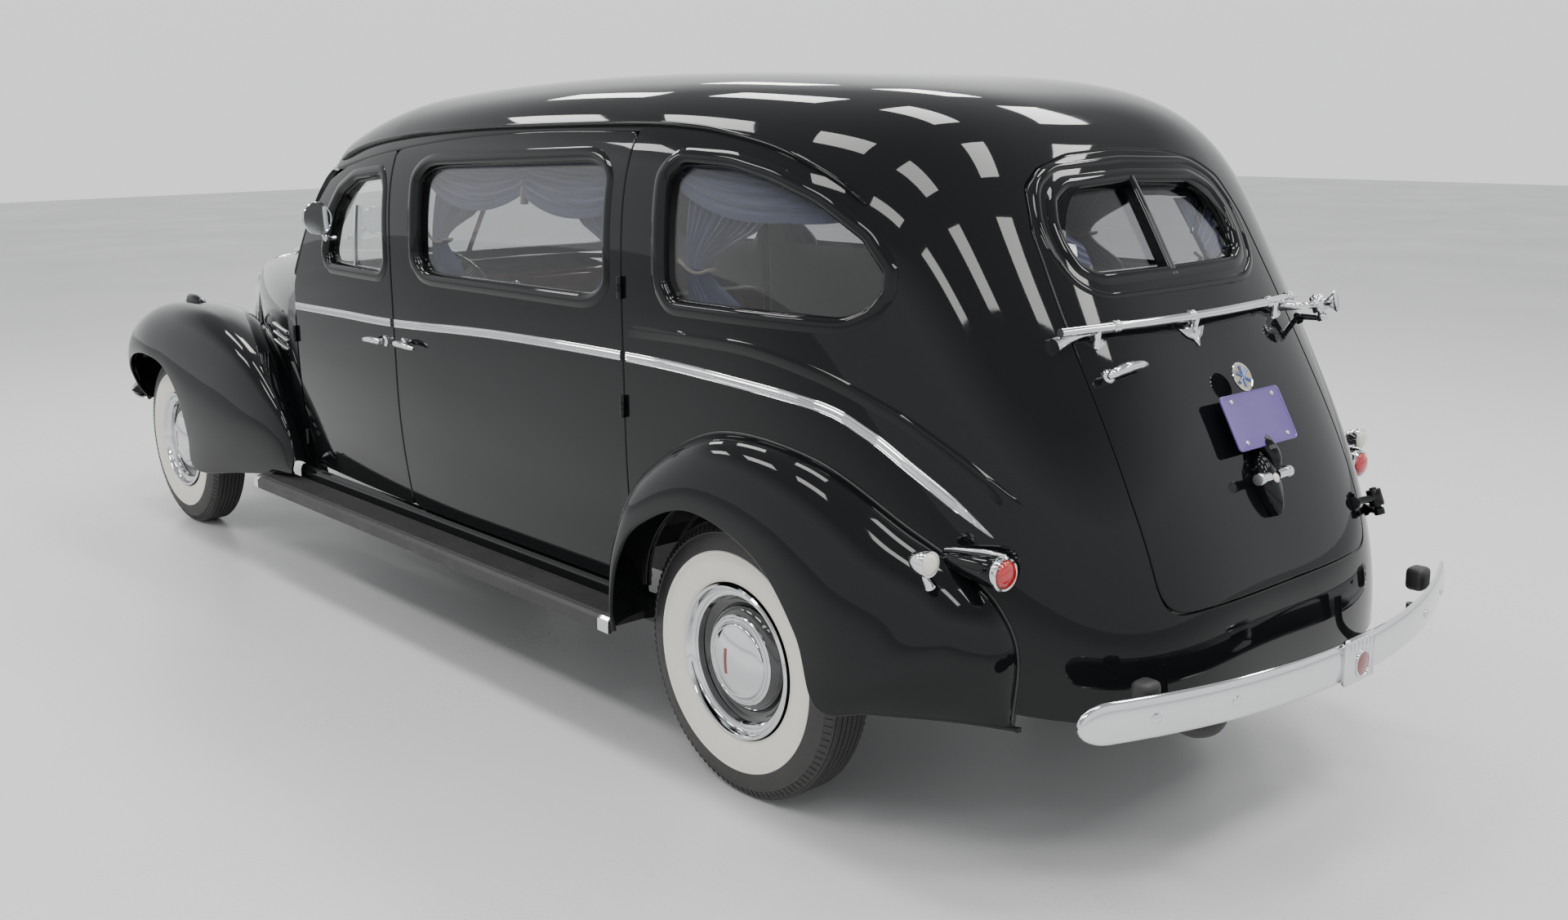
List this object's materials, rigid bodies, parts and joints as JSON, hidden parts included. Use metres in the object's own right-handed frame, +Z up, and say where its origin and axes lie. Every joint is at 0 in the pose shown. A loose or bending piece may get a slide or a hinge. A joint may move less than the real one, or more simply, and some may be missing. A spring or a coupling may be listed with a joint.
{
  "type": "long wheelbase hearse",
  "caption": "Long black hearse with opening side, rear and hood doors, steered front wheels, a deck inside and chrome bumpers.",
  "frame": {"origin": "on the ground, midway between the bumpers and the sides", "axes": "+Z up, front faces -Y, left side is +X"},
  "size_m": [1.8992, 5.8698, 1.865],
  "materials": {
    "dull_steel": "satin",
    "black_paint": "gloss",
    "clear_glass": "gloss",
    "tinted_glass": "gloss",
    "chrome": "gloss",
    "step_rubber": "satin",
    "plate_enamel": "gloss",
    "lamp_glass": "gloss",
    "dark_floor": "satin",
    "deck_wood": "satin",
    "seat_cloth": "matte",
    "dash_enamel": "gloss",
    "wheel_bakelite": "gloss",
    "engine_iron": "matte",
    "frame_steel": "satin",
    "whitewall_tyre": "matte",
    "wheel_black": "gloss"
  },
  "bodies": {
    "body": {"roof_panel": "black_paint", "quarter_panel_left": "black_paint", "quarter_panel_right": "black_paint", "rear_body_frame": "black_paint", "cowl": "black_paint", "windshield_frame": "black_paint", "windshield_glass": "clear_glass", "quarter_glass": "tinted_glass", "hood_sides": "black_paint", "grille_shell": "chrome", "front_fender_left": "black_paint", "front_fender_right": "black_paint", "rear_fender_left": "black_paint", "rear_fender_right": "black_paint", "running_boards": "step_rubber", "rear_hinge_pins": "chrome", "front_bumper": "chrome", "rear_bumper": "chrome", "headlamps": "chrome", "rear_lamps": "lamp_glass", "floor": "dark_floor", "casket_deck": "deck_wood", "front_seat": "seat_cloth", "dashboard": "dash_enamel", "steering_wheel": "wheel_bakelite", "engine": "engine_iron", "chassis_frame": "frame_steel", "leaf_springs": "frame_steel", "fuel_tank": "frame_steel", "exhaust": "dull_steel", "front_axle": "frame_steel", "rear_axle": "frame_steel"},
    "left_front_door": {"front_door_left": "black_paint", "front_door_glass_left": "clear_glass"},
    "right_front_door": {"front_door_right": "black_paint", "front_door_glass_right": "clear_glass"},
    "left_side_door": {"side_door_left": "black_paint", "side_door_glass_left": "tinted_glass"},
    "right_side_door": {"side_door_right": "black_paint", "side_door_glass_right": "tinted_glass"},
    "tail_door": {"rear_door": "black_paint", "rear_door_glass": "tinted_glass", "rear_door_fittings": "chrome", "licence_plate": "plate_enamel"},
    "hood_lid": {"hood": "black_paint"},
    "left_knuckle": {"knuckle_left": "frame_steel"},
    "right_knuckle": {"knuckle_right": "frame_steel"},
    "left_front_wheel": {"tyre_front_left": "whitewall_tyre", "wheel_front_left": "wheel_black"},
    "right_front_wheel": {"tyre_front_right": "whitewall_tyre", "wheel_front_right": "wheel_black"},
    "left_rear_wheel": {"tyre_rear_left": "whitewall_tyre", "wheel_rear_left": "wheel_black"},
    "right_rear_wheel": {"tyre_rear_right": "whitewall_tyre", "wheel_rear_right": "wheel_black"}
  },
  "joints": [
    {"name": "steer_left", "type": "hinge", "parent": "body", "child": "left_knuckle", "pos_m": [0.65, -2.115, 0.3685], "axis": [0, 0, 1], "range_deg": [-20, 20]},
    {"name": "steer_right", "type": "hinge", "parent": "body", "child": "right_knuckle", "pos_m": [-0.65, -2.115, 0.3685], "axis": [0, 0, 1], "range_deg": [-20, 20]},
    {"name": "roll_front_left", "type": "hinge", "parent": "left_knuckle", "child": "left_front_wheel", "pos_m": [0.7475, -2.115, 0.3685], "axis": [1, 0, 0], "continuous": true},
    {"name": "roll_front_right", "type": "hinge", "parent": "right_knuckle", "child": "right_front_wheel", "pos_m": [-0.7475, -2.115, 0.3685], "axis": [1, 0, 0], "continuous": true},
    {"name": "roll_rear_left", "type": "hinge", "parent": "body", "child": "left_rear_wheel", "pos_m": [0.7625, 1.675, 0.3685], "axis": [1, 0, 0], "continuous": true},
    {"name": "roll_rear_right", "type": "hinge", "parent": "body", "child": "right_rear_wheel", "pos_m": [-0.7625, 1.675, 0.3685], "axis": [1, 0, 0], "continuous": true},
    {"name": "open_front_door_left", "type": "hinge", "parent": "body", "child": "left_front_door", "pos_m": [0.812, -0.904, 0.8], "axis": [0, 0, -1], "range_deg": [0, 65]},
    {"name": "open_front_door_right", "type": "hinge", "parent": "body", "child": "right_front_door", "pos_m": [-0.812, -0.904, 0.8], "axis": [0, 0, 1], "range_deg": [0, 65]},
    {"name": "open_side_door_left", "type": "hinge", "parent": "body", "child": "left_side_door", "pos_m": [0.862, 1.2445, 0.8], "axis": [0, 0, 1], "range_deg": [0, 75]},
    {"name": "open_side_door_right", "type": "hinge", "parent": "body", "child": "right_side_door", "pos_m": [-0.862, 1.2445, 0.8], "axis": [0, 0, -1], "range_deg": [0, 75]},
    {"name": "open_rear_door", "type": "hinge", "parent": "body", "child": "tail_door", "pos_m": [-0.49, 2.68876, 0.755], "axis": [0, -0.364, 0.9314], "range_deg": [0, 90]},
    {"name": "lift_hood", "type": "hinge", "parent": "body", "child": "hood_lid", "pos_m": [0, -1.01, 1.185], "axis": [-1, 0, 0], "range_deg": [0, 45]}
  ],
  "couplings": [
    {"joint": "steer_right", "follows": "steer_left", "ratio": 1}
  ]
}
